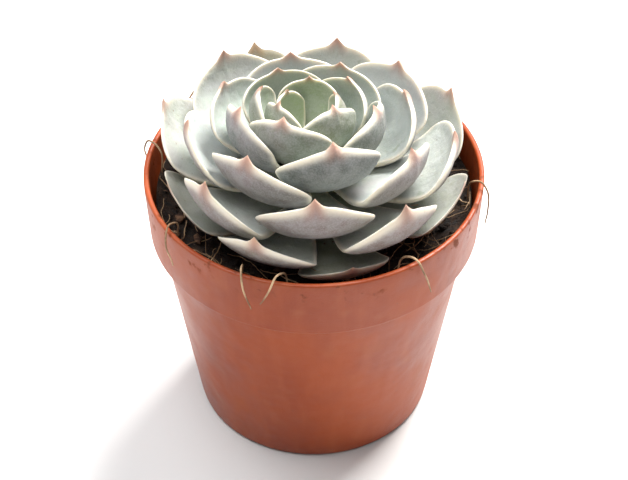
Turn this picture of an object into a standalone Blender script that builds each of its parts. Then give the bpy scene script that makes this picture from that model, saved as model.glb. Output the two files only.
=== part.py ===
"""A rosette succulent growing in a small round plastic nursery pot.

Run with blender --background --python part.py, or from Blender's text editor.

The pot stands on z = 0 with its axis on z. The front of the plant faces -y. Around the axis, a
bearing of 0 points to the front and grows towards +x. Every piece is one object: the moulded pot,
the plug of growing medium, the stem, each leaf, and the coarse coir fibres that lie over the rim.
"""

import math
import random

import bpy
import bmesh
from mathutils import Matrix, Vector

MM = 0.001
GAP = 0.3 * MM  # clearance kept between pieces that touch on the real plant

# Pot
POT_HEIGHT = 47.0 * MM
POT_RIM_RADIUS = 27.5 * MM
POT_WALL = 0.9 * MM
RIM_BAND_HEIGHT = 11.0 * MM
RIM_BAND_DRAFT = 0.7 * MM  # how much narrower the band is at its lower edge
SHOULDER_WIDTH = 1.5 * MM
FOOT_RADIUS = 19.5 * MM
FLOOR_THICKNESS = 1.8 * MM
FLOOR_CENTRE_RADIUS = 6.0 * MM
FOOT_RING_WIDTH = 2.6 * MM
FLOOR_RECESS = 0.7 * MM
DRAIN_HOLES = 6
DRAIN_HOLE_RADIUS = 2.4 * MM
DRAIN_HOLE_SIDES = 16
DRAIN_NOTCH_WIDTH = 3.0 * MM
NOTCH_HEIGHT = 0.5 * MM
POT_SIDES = 60

# Growing medium
MEDIUM_CENTRE_Z = POT_HEIGHT - 10.2 * MM
MEDIUM_EDGE_Z = POT_HEIGHT - 4.4 * MM
MEDIUM_BUMP = 0.5 * MM
MEDIUM_SIDES = 40

# Stem
STEM_FOOT_Z = POT_HEIGHT - 17.0 * MM
STEM_LOW_Z = POT_HEIGHT - 6.2 * MM  # where the oldest leaf is attached
STEM_TOP_Z = POT_HEIGHT + 9.0 * MM
STEM_RADIUS = 4.2 * MM
STEM_TOP_RADIUS = 0.9 * MM
STEM_SIDES = 16

# Rosette
LEAVES = 34
GOLDEN_ANGLE = math.radians(137.508)
LAYER = 1.0 / 40  # from one leaf's layer to the next, in age
FIRST_BEARING = math.radians(12.0)
ROSETTE_RADIUS = 26.6 * MM  # to the tip of a full-length old leaf
PROFILE_START = -0.30  # age of the profile's first point; its points are evenly spaced in age
PROFILE_STEP = 0.15
PROFILE_RADIUS = (25.0, 25.4, 25.4, 25.2, 22.0, 17.0, 10.9, 5.8, 2.4, 1.2, 0.8)  # mm
PROFILE_RISE = (-6.4, -1.4, 3.3, 7.3, 10.8, 13.0, 16.2, 17.4, 14.6, 11.4, 8.2)  # mm over the rim
LEAN_X = -1.2 * MM  # how far the rosette's heart leans
LEAN_Y = -2.0 * MM
HEART_TILT = 8.0 * MM  # its front stands higher than its back
LEAF_DROOP = math.radians(26.0)  # below the straight line from base to tip, at the stem
OLDEST_TIP_SLOPE = math.radians(78.0)
YOUNGEST_TIP_SLOPE = math.radians(116.0)
STEEPEST_AGE = 0.7  # from this age on, leaves end at the youngest slope
BASE_HANDLE = 0.38  # how far the leaf holds its direction at the stem, as a share of its span
TIP_HANDLE = 0.43  # the same at its tip
LEAF_THICKNESS = 3.0 * MM
YOUNGEST_THICKNESS = 0.34  # as a share of the oldest leaf's
LEAF_TURNS = {2: 5.0, 3: 4.0, 8: 5.0, 9: 1.0, 10: 8.0, 16: 5.0, 21: -4.0, 26: -10.0, 31: -8.0}  # degrees
AGE_SCATTER = 0.1  # how far a leaf strays from its own layer, in layers
TURN_SCATTER = 2.5  # and from its bearing, in degrees
LEAF_WIDTH = 18.8 * MM
OLDEST_WIDTH = 0.90  # the oldest leaves stayed a little smaller
OLDEST_LENGTH = 0.89
SLIMMER_FROM_AGE = 0.45  # leaves younger than this are not yet full width
HALF_ANGLE_MOST = math.radians(47.0)
LEAF_LAYERS_MOST = 4.0  # leaf thickness limit, counted in layer spacings
SHARED_LAYERS = 2.4  # the same, where a leaf lies on the one three before it
LEAF_LAYERS_BELOW = 0.7  # share of the thickness under the leaf's own layer
LEAF_BASE_THICKNESS = 0.62  # thickness at the stem, as a share of the thickest place
LEAF_BASE_SPREAD = 0.86  # angle it covers at the stem, as a share of its half angle
LEAF_SHOULDER = 0.72  # where along the leaf its margins turn in to the tip
LEAF_POINT = 0.05  # length of the sharp point, as a share of the leaf
LEAF_ROWS = (0.0, 0.2, 0.42, 0.64, 0.82, 0.94, 1.0)
LEAF_COLUMNS = (-1.0, -0.82, -0.5, -0.12, 0.0, 0.12, 0.5, 0.82, 1.0)

# Coir fibres
FIBRE_RADIUS = 0.28 * MM


# ---------------------------------------------------------------- helpers


def clear_scene():
    for thing in list(bpy.data.objects):
        bpy.data.objects.remove(thing, do_unlink=True)


def material(name, colour, roughness):
    made = bpy.data.materials.new(name)
    made.use_nodes = True
    shader = made.node_tree.nodes["Principled BSDF"]
    shader.inputs["Base Color"].default_value = (*colour, 1.0)
    shader.inputs["Roughness"].default_value = roughness
    shader.inputs["Metallic"].default_value = 0.0
    return made


def mix(a, b, share):
    return a + (b - a) * share


def around(bearing, radius, z):
    """A point at this bearing, radius and height."""
    return Vector((radius * math.sin(bearing), -radius * math.cos(bearing), z))


def add_mesh(name, points, faces, finish, smooth_below=40.0):
    mesh = bpy.data.meshes.new(name)
    mesh.from_pydata([tuple(p) for p in points], [], faces)
    mesh.validate()
    shell = bmesh.new()
    shell.from_mesh(mesh)
    bmesh.ops.recalc_face_normals(shell, faces=shell.faces)
    if shell.calc_volume(signed=True) < 0.0:
        bmesh.ops.reverse_faces(shell, faces=shell.faces)
    shell.to_mesh(mesh)
    shell.free()
    mesh.shade_smooth()
    mesh.set_sharp_from_angle(angle=math.radians(smooth_below))
    mesh.materials.append(finish)
    made = bpy.data.objects.new(name, mesh)
    bpy.context.scene.collection.objects.link(made)
    return made


def turned(name, outline, sides, finish, lift=None):
    """A closed solid of revolution. The outline runs from the axis to the axis, as (radius, z).

    lift(bearing, radius, z) may return a change of height for a point.
    """
    points = [around(0.0, 0.0, outline[0][1])]
    for radius, z in outline[1:-1]:
        for side in range(sides):
            bearing = 2 * math.pi * side / sides
            change = lift(bearing, radius, z) if lift else 0.0
            points.append(around(bearing, radius, z + change))
    points.append(around(0.0, 0.0, outline[-1][1]))
    faces = []
    rings = len(outline) - 2
    for side in range(sides):
        after = (side + 1) % sides
        faces.append((0, 1 + side, 1 + after))
        for ring in range(rings - 1):
            low = 1 + ring * sides
            high = low + sides
            faces.append((low + side, high + side, high + after, low + after))
        last = 1 + (rings - 1) * sides
        faces.append((last + after, last + side, len(points) - 1))
    return add_mesh(name, points, faces, finish)


def cut(target, cutter):
    cutter.hide_render = True
    cutter.display_type = "WIRE"
    step = target.modifiers.new("cut_" + cutter.name, "BOOLEAN")
    step.operation = "DIFFERENCE"
    step.solver = "EXACT"
    step.object = cutter


# ---------------------------------------------------------------- pot


def pot_body_radius(z):
    """Outer radius of the tapered body under the rim band."""
    shoulder_z = POT_HEIGHT - RIM_BAND_HEIGHT
    shoulder_radius = POT_RIM_RADIUS - RIM_BAND_DRAFT - SHOULDER_WIDTH
    return mix(FOOT_RADIUS, shoulder_radius, z / shoulder_z)


def pot_inner_outline():
    """The inside of the pot as (radius, z), from the centre of the floor up to the lip."""
    shoulder_z = POT_HEIGHT - RIM_BAND_HEIGHT
    return [
        (0.0, FLOOR_THICKNESS),
        (pot_body_radius(FLOOR_THICKNESS) - POT_WALL - 1.0 * MM, FLOOR_THICKNESS),
        (pot_body_radius(FLOOR_THICKNESS + 1.0 * MM) - POT_WALL, FLOOR_THICKNESS + 1.0 * MM),
        (pot_body_radius(shoulder_z) - POT_WALL, shoulder_z + POT_WALL),
        (POT_RIM_RADIUS - RIM_BAND_DRAFT - POT_WALL, shoulder_z + 1.6 * POT_WALL),
        (POT_RIM_RADIUS - POT_WALL, POT_HEIGHT - 0.35 * MM),
    ]


def build_pot(finish):
    shoulder_z = POT_HEIGHT - RIM_BAND_HEIGHT
    band_low = POT_RIM_RADIUS - RIM_BAND_DRAFT
    recess_in = FLOOR_CENTRE_RADIUS
    recess_out = FOOT_RADIUS - FOOT_RING_WIDTH
    outside = [
        (0.0, 0.0),
        (recess_in, 0.0),
        (recess_in + 0.5 * MM, FLOOR_RECESS),
        (recess_out - 0.5 * MM, FLOOR_RECESS),
        (recess_out, 0.0),
        (FOOT_RADIUS - 0.9 * MM, 0.0),
        (FOOT_RADIUS - 0.2 * MM, 0.3 * MM),
        (pot_body_radius(1.2 * MM), 1.2 * MM),
        (pot_body_radius(shoulder_z), shoulder_z),
        (band_low - 0.4 * MM, shoulder_z),
        (band_low, shoulder_z + 0.5 * MM),
        (POT_RIM_RADIUS - 0.05 * MM, POT_HEIGHT - 1.4 * MM),
        (POT_RIM_RADIUS, POT_HEIGHT - 0.4 * MM),
        (POT_RIM_RADIUS - 0.3 * MM, POT_HEIGHT),
        (POT_RIM_RADIUS - POT_WALL + 0.25 * MM, POT_HEIGHT),
    ]
    pot = turned("pot", outside + pot_inner_outline()[::-1], POT_SIDES, finish)
    cut(pot, drainage_cutter(recess_in, recess_out))
    return pot


def drainage_cutter(recess_in, recess_out):
    """Round holes through the floor, and a notch beside each that lets water out under the foot."""
    tools = bmesh.new()
    hole_ring = (recess_in + recess_out) / 2 + 0.6 * MM
    notch_in = hole_ring + DRAIN_HOLE_RADIUS + 0.5 * MM
    notch_out = FOOT_RADIUS + 2.0 * MM
    for number in range(DRAIN_HOLES):
        turn = Matrix.Rotation(2 * math.pi * (number + 0.5) / DRAIN_HOLES, 4, "Z")
        hole_at = turn @ Matrix.Translation((0.0, -hole_ring, 0.0))
        bmesh.ops.create_cone(
            tools,
            cap_ends=True,
            segments=DRAIN_HOLE_SIDES,
            radius1=DRAIN_HOLE_RADIUS,
            radius2=DRAIN_HOLE_RADIUS,
            depth=4 * FLOOR_THICKNESS,
            matrix=hole_at,
        )
        notch_size = (DRAIN_NOTCH_WIDTH, notch_out - notch_in, 2 * NOTCH_HEIGHT, 1.0)
        notch_at = turn @ Matrix.Translation((0.0, -(notch_in + notch_out) / 2, 0.0))
        bmesh.ops.create_cube(tools, size=1.0, matrix=notch_at @ Matrix.Diagonal(notch_size))
    mesh = bpy.data.meshes.new("drainage_cutter")
    tools.to_mesh(mesh)
    tools.free()
    cutter = bpy.data.objects.new("drainage_cutter", mesh)
    bpy.context.scene.collection.objects.link(cutter)
    return cutter


# ---------------------------------------------------------------- growing medium


def medium_top(bearing, radius):
    """Height of the medium's surface: hollowed under the rosette, banked up at the wall."""
    outer = POT_RIM_RADIUS - POT_WALL - GAP
    bank = (radius / outer) ** 3
    waves = math.sin(3 * bearing + 0.8) + 0.8 * math.sin(7 * bearing + 2.1)
    return mix(MEDIUM_CENTRE_Z, MEDIUM_EDGE_Z, bank) + 0.3 * MM * waves * (radius / outer)


def build_medium(finish):
    socket = STEM_RADIUS + GAP
    wall = [(radius - GAP, z + GAP) for radius, z in pot_inner_outline()[1:5]]
    edge = wall[-1][0]
    rings = 8
    top = [mix(edge, socket + 0.8 * MM, ring / rings) for ring in range(rings + 1)]
    rng = random.Random(5)
    bumps = {}

    def lift(bearing, radius, z):
        if not math.isclose(z, MEDIUM_EDGE_Z):
            return 0.0
        key = (round(bearing, 4), round(radius, 7))
        if key not in bumps:
            bumps[key] = rng.uniform(-MEDIUM_BUMP, MEDIUM_BUMP) * (0.3 if radius > 0.99 * edge else 1.0)
        return medium_top(bearing, radius) - MEDIUM_EDGE_Z + bumps[key]

    outline = [(0.0, FLOOR_THICKNESS + GAP)] + wall
    outline += [(radius, MEDIUM_EDGE_Z) for radius in top]
    outline += [
        (socket, MEDIUM_CENTRE_Z - 1.5 * MM),
        (socket, STEM_FOOT_Z - GAP),
        (0.0, STEM_FOOT_Z - GAP),
    ]
    return turned("growing_medium", outline, MEDIUM_SIDES, finish, lift)


# ---------------------------------------------------------------- stem and rosette


def stem_radius(z):
    """Radius of the stem: even below the leaves, tapered to the growing tip above."""
    share = min(1.0, max(0.0, (z - STEM_LOW_Z) / (STEM_TOP_Z - STEM_LOW_Z)))
    return mix(STEM_RADIUS, STEM_TOP_RADIUS, share**1.1)


def build_stem(finish):
    steps = 9
    outline = [(0.0, STEM_FOOT_Z), (0.55 * STEM_RADIUS, STEM_FOOT_Z)]
    outline.append((0.95 * STEM_RADIUS, STEM_FOOT_Z + 3.0 * MM))
    for step in range(steps):
        z = mix(STEM_LOW_Z, STEM_TOP_Z, step / steps)
        outline.append((stem_radius(z), z))
    outline += [(0.6 * STEM_TOP_RADIUS, STEM_TOP_Z), (0.0, STEM_TOP_Z + 0.4 * MM)]
    stem = turned("stem", outline, STEM_SIDES, finish)
    for vertex in stem.data.vertices:
        vertex.co = sway(vertex.co)
    return stem


def smooth_step(before, start, end, after, t):
    """The smooth line from start (t 0) to end (t 1) that heads for its neighbours."""
    return 0.5 * (
        2 * start
        + (end - before) * t
        + (2 * before - 5 * start + 4 * end - after) * t**2
        + (3 * start - before - 3 * end + after) * t**3
    )


def profile(points, age):
    """Where leaf tips lie at this age, on a smooth line through the rosette's profile."""
    place = (age - PROFILE_START) / PROFILE_STEP
    first = min(max(math.floor(place), 1), len(points) - 3)
    return smooth_step(*points[first - 1 : first + 3], place - first) * MM


def shell_point(age, along):
    """(radius, z) on the leaf layer of this age, 0 the oldest to 1 the youngest.

    The layers nest in each other like bowls, so leaves shaped between them never meet. A layer's
    section is one cubic curve from the stem (along 0) to the rosette's outer surface (along 1).
    """
    start_z = mix(STEM_LOW_Z, STEM_TOP_Z, age)
    start_radius = stem_radius(start_z) + GAP
    end_radius = profile(PROFILE_RADIUS, age)
    end_z = POT_HEIGHT + profile(PROFILE_RISE, age)
    span = math.hypot(end_radius - start_radius, end_z - start_z)
    chord = math.atan2(end_z - start_z, end_radius - start_radius)
    leave = chord - LEAF_DROOP
    arrive = mix(OLDEST_TIP_SLOPE, YOUNGEST_TIP_SLOPE, min(1.0, age / STEEPEST_AGE))
    base, tip = BASE_HANDLE * span, TIP_HANDLE * span
    near = (start_radius + base * math.cos(leave), start_z + base * math.sin(leave))
    far = (end_radius - tip * math.cos(arrive), end_z - tip * math.sin(arrive))
    a, b = (1 - along) ** 3, 3 * along * (1 - along) ** 2
    c, d = 3 * along**2 * (1 - along), along**3
    return (
        a * start_radius + b * near[0] + c * far[0] + d * end_radius,
        a * start_z + b * near[1] + c * far[1] + d * end_z,
    )


def layer_spacing(age, along):
    """Distance across the leaf between one layer and the next."""
    low, high = shell_point(age - LAYER / 2, along), shell_point(age + LAYER / 2, along)
    before, after = shell_point(age, along - 0.02), shell_point(age, along + 0.02)
    run = math.hypot(after[0] - before[0], after[1] - before[1])
    slope = ((after[0] - before[0]) / run, (after[1] - before[1]) / run)
    return abs((high[0] - low[0]) * slope[1] - (high[1] - low[1]) * slope[0])


def sway(point):
    """Makes the rosette uneven: some sides reach further and stand higher, and its heart leans."""
    radius = math.hypot(point.x, point.y)
    bearing = math.atan2(point.x, -point.y)
    reach = radius / ROSETTE_RADIUS
    wider = 1.0 + reach * (0.020 * math.sin(2 * bearing + 0.6) + 0.015 * math.sin(3 * bearing + 2.0))
    lift = 0.5 * MM * reach * math.sin(bearing + 2.4) + 0.3 * MM * reach * math.sin(3 * bearing)
    high = min(1.0, max(0.0, (point.z - STEM_LOW_Z) / (STEM_TOP_Z - STEM_LOW_Z)))
    lean = high**2 * max(0.0, 1.0 - reach**2)
    lift += HEART_TILT * reach * math.cos(bearing) * lean * max(0.0, 1.0 - reach**2)
    moved = Vector((LEAN_X * lean, LEAN_Y * lean, lift))
    return Vector((point.x * wider, point.y * wider, point.z)) + moved


def leaf_traits(number):
    """What sets one leaf apart: its age, bearing, length, half angle and thickness."""
    rng = random.Random(40 + number)
    age = (number + rng.uniform(-AGE_SCATTER, AGE_SCATTER)) * LAYER
    turn = LEAF_TURNS.get(number, 0.0) + rng.uniform(-TURN_SCATTER, TURN_SCATTER)
    bearing = FIRST_BEARING + number * GOLDEN_ANGLE + math.radians(turn)
    length = rng.uniform(0.95, 1.0) * mix(OLDEST_LENGTH, 1.0, min(1.0, number / 3.0))
    grown = mix(OLDEST_WIDTH, 1.0, min(1.0, age / 0.2)) * (1 - max(0.0, age - SLIMMER_FROM_AGE))
    half_width = grown * rng.uniform(0.96, 1.03) * LEAF_WIDTH / 2
    half_angle = min(HALF_ANGLE_MOST, math.asin(min(0.99, half_width / shell_point(age, 0.8)[0])))
    thickness = LEAF_THICKNESS * mix(1.0, YOUNGEST_THICKNESS, max(0.0, age) ** 1.6)
    return max(0.0, age), bearing, length, half_angle, thickness


def tip_line(across):
    """How far along its layer the blade reaches at this place across it, -1 to 1."""
    round_end = (1 - abs(across) ** 2.0) ** 0.6
    point = LEAF_POINT * max(0.0, 1 - abs(across) / 0.12)
    return mix(LEAF_SHOULDER, 1.0, round_end) + point


def blade_section(across):
    """Thickness of the blade at this place across it, as a share of its middle."""
    return max(0.0, 1 - abs(across) ** 3.0) ** 0.5


def layers_most(half_angle):
    """Leaves three apart overlap, so halfway between them each keeps to its share of the layers."""
    halfway = (3 * GOLDEN_ANGLE - 2 * math.pi) / 2
    if half_angle <= halfway:
        return LEAF_LAYERS_MOST
    return min(LEAF_LAYERS_MOST, SHARED_LAYERS / blade_section(halfway / half_angle))


def leaf_point(number, row, across, side):
    """A point on the leaf's upper (side 1) or lower (side -1) face, or on its margin (side 0)."""
    age, bearing, length, half_angle, thickness = leaf_traits(number)
    along = row * length * tip_line(across)
    spacing = layer_spacing(age, max(0.02, min(along, 1.0)))
    swell = mix(LEAF_BASE_THICKNESS, 1.0, math.sin(math.pi * min(1.0, row + 0.12)) ** 0.7)
    section = blade_section(across) * (1 - row**5) ** 0.5
    layers = min(layers_most(half_angle), swell * thickness / spacing) * section
    share = {1: 1.0 - LEAF_LAYERS_BELOW, 0: 0.0, -1: -LEAF_LAYERS_BELOW}[side]
    radius, z = shell_point(age + share * layers * LAYER, along)
    spread = half_angle * mix(LEAF_BASE_SPREAD, 1.0, min(1.0, row / 0.5))
    return sway(around(bearing + across * spread, radius, z))


def build_leaf(number, finish):
    rows, columns = len(LEAF_ROWS), len(LEAF_COLUMNS)
    last_row, last_column = rows - 1, columns - 1
    points, place = [], {}

    def point_at(row, column, side):
        if row == last_row or column in (0, last_column):
            side = 0
        key = (row, column, side)
        if key not in place:
            place[key] = len(points)
            points.append(leaf_point(number, LEAF_ROWS[row], LEAF_COLUMNS[column], side))
        return place[key]

    faces = []
    for side in (1, -1):
        for row in range(last_row):
            for column in range(last_column):
                corners = [
                    point_at(row, column, side),
                    point_at(row, column + 1, side),
                    point_at(row + 1, column + 1, side),
                    point_at(row + 1, column, side),
                ]
                faces.append(corners[::side])
    for column in range(last_column):
        base = [point_at(0, column + 1, 1), point_at(0, column, 1)]
        base += [point_at(0, column, -1), point_at(0, column + 1, -1)]
        faces.append(list(dict.fromkeys(base)))
    return add_mesh(f"leaf_{number + 1:02d}", points, faces, finish, 50.0)


# ---------------------------------------------------------------- coir fibres


def fibre_path(bearing, drift, hang, arch):
    """From the medium by the wall, up over the rim and down its outside."""
    outside = POT_RIM_RADIUS + GAP + 2 * FIBRE_RADIUS
    inner = POT_RIM_RADIUS - POT_WALL - RIM_BAND_DRAFT - GAP - FIBRE_RADIUS
    start = medium_top(bearing, inner) + MEDIUM_BUMP + 2 * FIBRE_RADIUS
    top = POT_HEIGHT + GAP + 2 * FIBRE_RADIUS + arch
    knots = [
        around(bearing, inner - 0.3 * MM, start),
        around(bearing + 0.15 * drift, inner - 0.2 * MM, mix(start, top, 0.75)),
        around(bearing + 0.40 * drift, POT_RIM_RADIUS - 0.2 * MM, top + 0.1 * MM),
        around(bearing + 0.65 * drift, outside + 0.2 * MM, POT_HEIGHT - 0.25 * hang),
        around(bearing + drift, outside + 0.1 * MM, POT_HEIGHT - hang),
    ]
    return knots


def build_fibre(number, knots, finish):
    curve = bpy.data.curves.new(f"coir_fibre_{number}", "CURVE")
    curve.dimensions = "3D"
    curve.bevel_depth = FIBRE_RADIUS
    curve.bevel_resolution = 1
    curve.use_fill_caps = True
    steps = 4
    fine = []
    padded = [2 * knots[0] - knots[1]] + knots + [2 * knots[-1] - knots[-2]]
    for before, start, end, after in zip(padded, padded[1:], padded[2:], padded[3:]):
        for step in range(steps):
            fine.append(smooth_step(before, start, end, after, step / steps))
    fine.append(knots[-1])
    line = curve.splines.new("POLY")
    line.points.add(len(fine) - 1)
    for place, point in zip(line.points, fine):
        place.co = (*point, 1.0)
    curve.materials.append(finish)
    made = bpy.data.objects.new(curve.name, curve)
    bpy.context.scene.collection.objects.link(made)
    return made


def build_fibres(finish):
    """(bearing, sideways drift, hang below the rim, arch above it) of each coarse fibre."""
    strands = [
        (-27.0, 7.0, 5.5, 0.2),
        (-9.0, -8.0, 4.0, 0.4),
        (31.0, 9.0, 6.5, 0.3),
        (84.0, -10.0, 5.0, 0.2),
        (126.0, 12.0, 7.5, 0.5),
        (169.0, -14.0, 6.0, 0.3),
        (221.0, 11.0, 8.0, 0.2),
        (262.0, -9.0, 6.0, 0.4),
        (300.0, 9.0, 4.5, 0.3),
    ]
    for number, (bearing, drift, hang, arch) in enumerate(strands, 1):
        knots = fibre_path(math.radians(bearing), math.radians(drift), hang * MM, arch * MM)
        build_fibre(number, knots, finish)


# ---------------------------------------------------------------- the plant, put together


def build_all():
    clear_scene()
    clay_plastic = material("clay_plastic", (0.48, 0.15, 0.08), 0.42)
    peat = material("peat", (0.05, 0.025, 0.015), 0.95)
    stem_green = material("stem_green", (0.35, 0.33, 0.20), 0.7)
    leaf_skin = material("leaf_skin", (0.42, 0.48, 0.43), 0.6)
    coir = material("coir", (0.42, 0.25, 0.12), 0.85)
    build_pot(clay_plastic)
    build_medium(peat)
    build_stem(stem_green)
    for number in range(LEAVES):
        build_leaf(number, leaf_skin)
    build_fibres(coir)


build_all()
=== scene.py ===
import math
import random

import bmesh
import bpy
import numpy as np
from mathutils import Matrix, Vector, noise


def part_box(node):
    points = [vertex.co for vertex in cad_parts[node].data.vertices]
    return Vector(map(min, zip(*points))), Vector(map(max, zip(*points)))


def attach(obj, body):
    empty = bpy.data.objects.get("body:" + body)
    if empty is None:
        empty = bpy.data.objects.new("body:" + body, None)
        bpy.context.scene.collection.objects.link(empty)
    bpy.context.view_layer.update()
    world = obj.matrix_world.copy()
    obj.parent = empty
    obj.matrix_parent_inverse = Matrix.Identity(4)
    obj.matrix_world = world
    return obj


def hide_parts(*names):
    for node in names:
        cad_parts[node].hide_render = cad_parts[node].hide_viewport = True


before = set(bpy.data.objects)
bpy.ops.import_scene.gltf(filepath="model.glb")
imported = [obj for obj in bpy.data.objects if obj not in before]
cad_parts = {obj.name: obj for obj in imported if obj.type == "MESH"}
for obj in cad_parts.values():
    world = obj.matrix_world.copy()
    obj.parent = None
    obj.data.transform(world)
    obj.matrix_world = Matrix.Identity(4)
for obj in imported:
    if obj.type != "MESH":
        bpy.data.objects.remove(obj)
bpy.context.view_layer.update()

# ---------------------------------------------------------------- the pot
# The pot is one thin-walled injection moulding of clay-coloured plastic: a tapered body, a flat
# shoulder, and an upright rim band that stiffens its mouth. The floor has six drain holes inside a
# foot ring, with a notch through the ring beside each, and the sunk stub of the moulding gate.

MM = 0.001
POT_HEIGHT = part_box("pot")[1].z
RIM_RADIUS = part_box("pot")[1].x
POT_WALL = 0.9 * MM
BAND_HEIGHT = 11.0 * MM
BAND_DRAFT = 0.7 * MM
SHOULDER_Z = POT_HEIGHT - BAND_HEIGHT
SHOULDER_RADIUS = RIM_RADIUS - BAND_DRAFT - 1.5 * MM
FOOT_RADIUS = 19.5 * MM
FOOT_RING_WIDTH = 2.6 * MM
FLOOR_THICKNESS = 1.8 * MM
FLOOR_RECESS = 0.7 * MM
FLOOR_DISC_RADIUS = 6.0 * MM
GATE_RADIUS = 0.8 * MM
GATE_DISH = 0.45 * MM
GATE_STUB_Z = 0.12 * MM
DRAIN_HOLES = 6
DRAIN_HOLE_RADIUS = 2.4 * MM
NOTCH_WIDTH = 3.0 * MM
NOTCH_HEIGHT = 0.5 * MM
POT_SIDES = 192


def mix(a, b, share):
    return a + (b - a) * share


def around(bearing, radius, z):
    """The point at this bearing (0 is the front), radius and height."""
    return Vector((radius * math.sin(bearing), -radius * math.cos(bearing), z))


def body_radius(z):
    """Outside of the tapered body at this height."""
    return mix(FOOT_RADIUS, SHOULDER_RADIUS, z / SHOULDER_Z)


def soften(corners, steps=5):
    """Rounds an outline: each corner is (radius, z, how far from the corner its curve begins)."""
    outline = []
    for place, (radius, z, reach) in enumerate(corners):
        corner = Vector((radius, z))
        if reach == 0.0:
            outline.append(corner)
            continue
        before = Vector(corners[place - 1][:2]) - corner
        after = Vector(corners[place + 1][:2]) - corner
        start = corner + before.normalized() * min(reach, 0.48 * before.length)
        end = corner + after.normalized() * min(reach, 0.48 * after.length)
        for step in range(steps + 1):
            t = step / steps
            outline.append(start * (1 - t) ** 2 + corner * 2 * t * (1 - t) + end * t**2)
    return outline


def smooth(made, sharp_above):
    """Shades it smooth, but for edges that turn by more than this many degrees."""
    made.data.shade_smooth()
    made.data.set_sharp_from_angle(angle=math.radians(sharp_above))


def piece(name, points, faces, finish, slot, sharp_above=180.0):
    """A closed mesh with its faces pointing out, that rides on the plant's one body."""
    mesh = bpy.data.meshes.new(name)
    mesh.from_pydata([tuple(point) for point in points], [], faces)
    shell = bmesh.new()
    shell.from_mesh(mesh)
    bmesh.ops.recalc_face_normals(shell, faces=shell.faces)
    if shell.calc_volume(signed=True) < 0.0:
        bmesh.ops.reverse_faces(shell, faces=shell.faces)
    shell.to_mesh(mesh)
    shell.free()
    mesh.materials.append(finish)
    made = bpy.data.objects.new(name, mesh)
    bpy.context.scene.collection.objects.link(made)
    smooth(made, sharp_above)
    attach(made, "root")
    return made


def turned(name, outline, sides, finish, slot):
    """A solid of revolution; the outline starts and ends on the axis."""
    points = [around(0.0, 0.0, outline[0][1])]
    for radius, z in outline[1:-1]:
        points += [around(2 * math.pi * side / sides, radius, z) for side in range(sides)]
    points.append(around(0.0, 0.0, outline[-1][1]))
    faces = []
    for side in range(sides):
        after = (side + 1) % sides
        faces.append((0, 1 + side, 1 + after))
        for ring in range(len(outline) - 3):
            low = 1 + ring * sides
            faces.append((low + side, low + sides + side, low + sides + after, low + after))
        last = 1 + (len(outline) - 3) * sides
        faces.append((last + after, last + side, len(points) - 1))
    return piece(name, points, faces, finish, slot)


def feed(tree, made, inputs):
    """Fills a shader node's inputs, each from a value or from the socket that feeds it."""
    for name, value in inputs.items():
        if isinstance(value, bpy.types.NodeSocket):
            tree.links.new(value, made.inputs[name])
        else:
            made.inputs[name].default_value = value


def node(tree, kind, inputs, **settings):
    made = tree.nodes.new("ShaderNode" + kind)
    for name, value in settings.items():
        setattr(made, name, value)
    feed(tree, made, inputs)
    return made


def cloudy(tree, place, size, low, high, detail=3.0, rough=0.55):
    """Noise with features of this size in metres, stretched so that low to high becomes 0 to 1."""
    clouds = node(
        tree, "TexNoise", {"Vector": place, "Scale": 1 / size, "Detail": detail, "Roughness": rough}
    )
    return ramp(tree, clouds.outputs["Fac"], low, high)


def ramp(tree, value, low, high, start=0.0, end=1.0):
    """Carries low..high over to start..end with soft ends."""
    ranged = node(
        tree,
        "MapRange",
        {"Value": value, "From Min": low, "From Max": high, "To Min": start, "To Max": end},
        interpolation_type="SMOOTHSTEP",
    )
    return ranged.outputs["Result"]


def times(tree, first, second):
    return node(tree, "Math", {0: first, 1: second}, operation="MULTIPLY", use_clamp=True).outputs[0]


def plus(tree, first, second):
    return node(tree, "Math", {0: first, 1: second}, operation="ADD").outputs[0]


def coloured(tree, share, under, over):
    """The colour under, turned to over by this share; each is a socket or (r, g, b)."""
    low, high = ((*value, 1.0) if isinstance(value, tuple) else value for value in (under, over))
    return node(tree, "Mix", {0: share, 6: low, 7: high}, data_type="RGBA").outputs[2]


def raised(tree, height, distance, under=None):
    """A bump of this height in metres, over another bump if one is given."""
    inputs = {"Height": height, "Distance": distance, "Strength": 1.0}
    if under:
        inputs["Normal"] = under
    return node(tree, "Bump", inputs).outputs["Normal"]


def new_finish(name):
    """A material, its nodes, its shader, and the place in the plant that its patterns are laid by."""
    made = bpy.data.materials.new(name)
    made.use_nodes = True
    tree = made.node_tree
    return made, tree, tree.nodes["Principled BSDF"], node(tree, "TexCoord", {}).outputs["Object"]


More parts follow.
